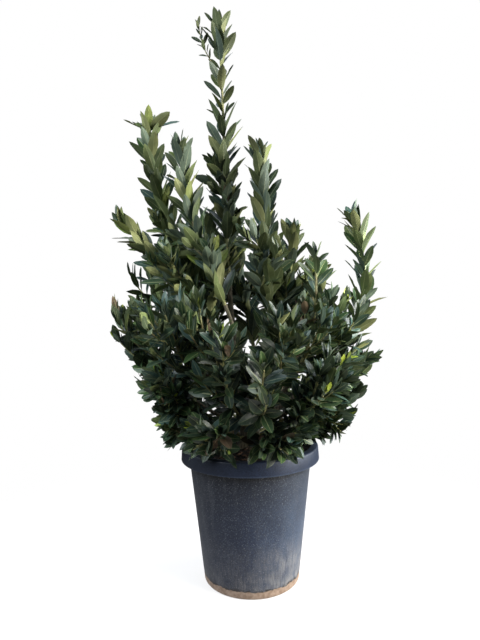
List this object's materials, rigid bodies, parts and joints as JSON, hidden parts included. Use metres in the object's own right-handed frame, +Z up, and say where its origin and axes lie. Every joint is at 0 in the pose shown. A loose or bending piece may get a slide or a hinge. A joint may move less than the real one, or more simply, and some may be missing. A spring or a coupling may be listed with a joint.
{
  "type": "potted bay laurel shrub",
  "caption": "Unclipped, bushy bay laurel shrub with upright leafy leaders, rooted in compost in a round slate-coloured plastic nursery pot with a deep rolled rim.",
  "frame": {"origin": "middle of the pot's flat underside, on the surface that the pot stands on", "axes": "+Z up, -Y towards the shrub's front, +X to the right as seen from the front"},
  "size_m": [0.7499, 0.6755, 1.5304],
  "materials": {
    "pot_plastic": "satin",
    "compost": "matte",
    "bark": "matte",
    "foliage": "satin"
  },
  "bodies": {
    "root": {"back_leader_bough": "bark", "back_leader_foliage": "foliage", "back_left_bough": "bark", "back_left_foliage": "foliage", "back_left_spray_foliage": "foliage", "back_right_bough": "bark", "back_right_foliage": "foliage", "back_right_spray_foliage": "foliage", "back_skirt_foliage": "foliage", "centre_leader_bough": "bark", "centre_leader_foliage": "foliage", "far_left_bough": "bark", "far_left_foliage": "foliage", "far_right_leader_bough": "bark", "far_right_leader_foliage": "foliage", "front_centre_spray_foliage": "foliage", "front_left_bough": "bark", "front_left_foliage": "foliage", "front_left_skirt_foliage": "foliage", "front_left_spray_foliage": "foliage", "front_mid_bough": "bark", "front_mid_foliage": "foliage", "front_right_bough": "bark", "front_right_foliage": "foliage", "front_right_skirt_foliage": "foliage", "front_right_spray_foliage": "foliage", "inner_left_leader_bough": "bark", "inner_left_leader_foliage": "foliage", "left_back_spray_foliage": "foliage", "left_leader_bough": "bark", "left_leader_foliage": "foliage", "left_low_spray_foliage": "foliage", "left_skirt_foliage": "foliage", "low_left_bough": "bark", "low_left_foliage": "foliage", "mid_left_bough": "bark", "mid_left_foliage": "foliage", "pot": "pot_plastic", "right_back_bough": "bark", "right_back_foliage": "foliage", "right_back_spray_foliage": "foliage", "right_leader_bough": "bark", "right_leader_foliage": "foliage", "right_low_spray_foliage": "foliage", "right_mid_bough": "bark", "right_mid_foliage": "foliage", "right_shoulder_bough": "bark", "right_shoulder_foliage": "foliage", "right_skirt_foliage": "foliage", "root_ball": "compost", "short_stem": "bark", "small_left_leader_bough": "bark", "small_left_leader_foliage": "foliage", "tall_leader_bough": "bark", "tall_leader_foliage": "foliage"}
  },
  "joints": []
}
